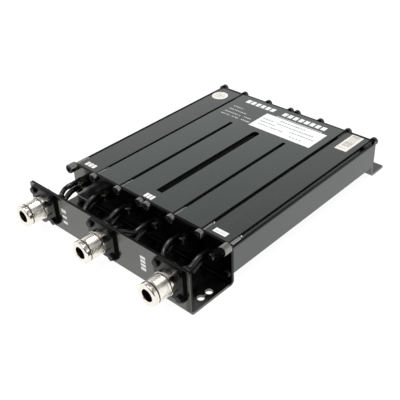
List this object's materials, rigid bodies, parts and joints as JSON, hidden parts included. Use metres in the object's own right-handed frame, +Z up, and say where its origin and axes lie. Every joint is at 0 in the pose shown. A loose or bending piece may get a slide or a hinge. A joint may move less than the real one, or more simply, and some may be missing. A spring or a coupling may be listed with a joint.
{
  "type": "cavity duplexer",
  "caption": "Flat mobile-radio duplexer: paired aluminium cavity extrusions between folded end brackets, with coaxial sockets on a front panel and a bay of jumpers.",
  "frame": {"origin": "middle of the four front mounting holes, on the resting plane", "axes": "+X along the connector panel, +Y from the connectors to the rear foot, +Z up"},
  "size_m": [0.156, 0.2394, 0.0338],
  "materials": {
    "grey_paint": "satin grey enamel",
    "cover_print": "satin grey printed sheet",
    "panel_paint": "satin warm grey enamel",
    "nickel": "polished nickel plate",
    "black_metal": "black oxide",
    "insulator_white": "milky",
    "contact_brass": "bright",
    "screw_steel": "zinc plate",
    "rod_metal": "silver plated brass",
    "cable_black": "matte jacket",
    "label_white": "satin label film",
    "label_cream": "satin label film"
  },
  "bodies": {
    "duplexer": {"cavity_block_left": "grey_paint", "cavity_block_right": "grey_paint", "centre_contact_1": "contact_brass", "centre_contact_2": "contact_brass", "centre_contact_3": "contact_brass", "connector_flange_1": "black_metal", "connector_flange_2": "black_metal", "connector_flange_3": "black_metal", "connector_nuts": "nickel", "connector_shell_1": "nickel", "connector_shell_2": "nickel", "connector_shell_3": "nickel", "coupling_loops": "contact_brass", "cover_sheet": "cover_print", "flange_screws": "black_metal", "front_bracket": "panel_paint", "insulator_1": "insulator_white", "insulator_2": "insulator_white", "insulator_3": "insulator_white", "jumper_1_2": "cable_black", "jumper_2_3": "cable_black", "jumper_3_antenna": "cable_black", "jumper_4_5": "cable_black", "jumper_5_6": "cable_black", "jumper_antenna_4": "cable_black", "jumper_left_port": "cable_black", "jumper_right_port": "cable_black", "lock_nuts": "screw_steel", "port_bushes": "nickel", "rear_bracket": "panel_paint", "resonator_1": "rod_metal", "resonator_2": "rod_metal", "resonator_3": "rod_metal", "resonator_4": "rod_metal", "resonator_5": "rod_metal", "resonator_6": "rod_metal", "resonator_screws": "screw_steel", "round_label": "label_cream", "strip_label": "label_cream", "tie_screws_front_lower": "screw_steel", "tie_screws_front_upper": "screw_steel", "tie_screws_rear_lower": "screw_steel", "tie_screws_rear_upper": "screw_steel", "white_label": "label_white"},
    "tuner_1": {"tuning_screw_1": "contact_brass"},
    "tuner_2": {"tuning_screw_2": "contact_brass"},
    "tuner_3": {"tuning_screw_3": "contact_brass"},
    "tuner_4": {"tuning_screw_4": "contact_brass"},
    "tuner_5": {"tuning_screw_5": "contact_brass"},
    "tuner_6": {"tuning_screw_6": "contact_brass"}
  },
  "joints": [
    {"name": "tuner_1_travel", "type": "slide", "parent": "duplexer", "child": "tuner_1", "axis": [0, 1, 0], "range_m": [-0.003, 0.003]},
    {"name": "tuner_2_travel", "type": "slide", "parent": "duplexer", "child": "tuner_2", "axis": [0, 1, 0], "range_m": [-0.003, 0.003]},
    {"name": "tuner_3_travel", "type": "slide", "parent": "duplexer", "child": "tuner_3", "axis": [0, 1, 0], "range_m": [-0.003, 0.003]},
    {"name": "tuner_4_travel", "type": "slide", "parent": "duplexer", "child": "tuner_4", "axis": [0, 1, 0], "range_m": [-0.003, 0.003]},
    {"name": "tuner_5_travel", "type": "slide", "parent": "duplexer", "child": "tuner_5", "axis": [0, 1, 0], "range_m": [-0.003, 0.003]},
    {"name": "tuner_6_travel", "type": "slide", "parent": "duplexer", "child": "tuner_6", "axis": [0, 1, 0], "range_m": [-0.003, 0.003]}
  ]
}
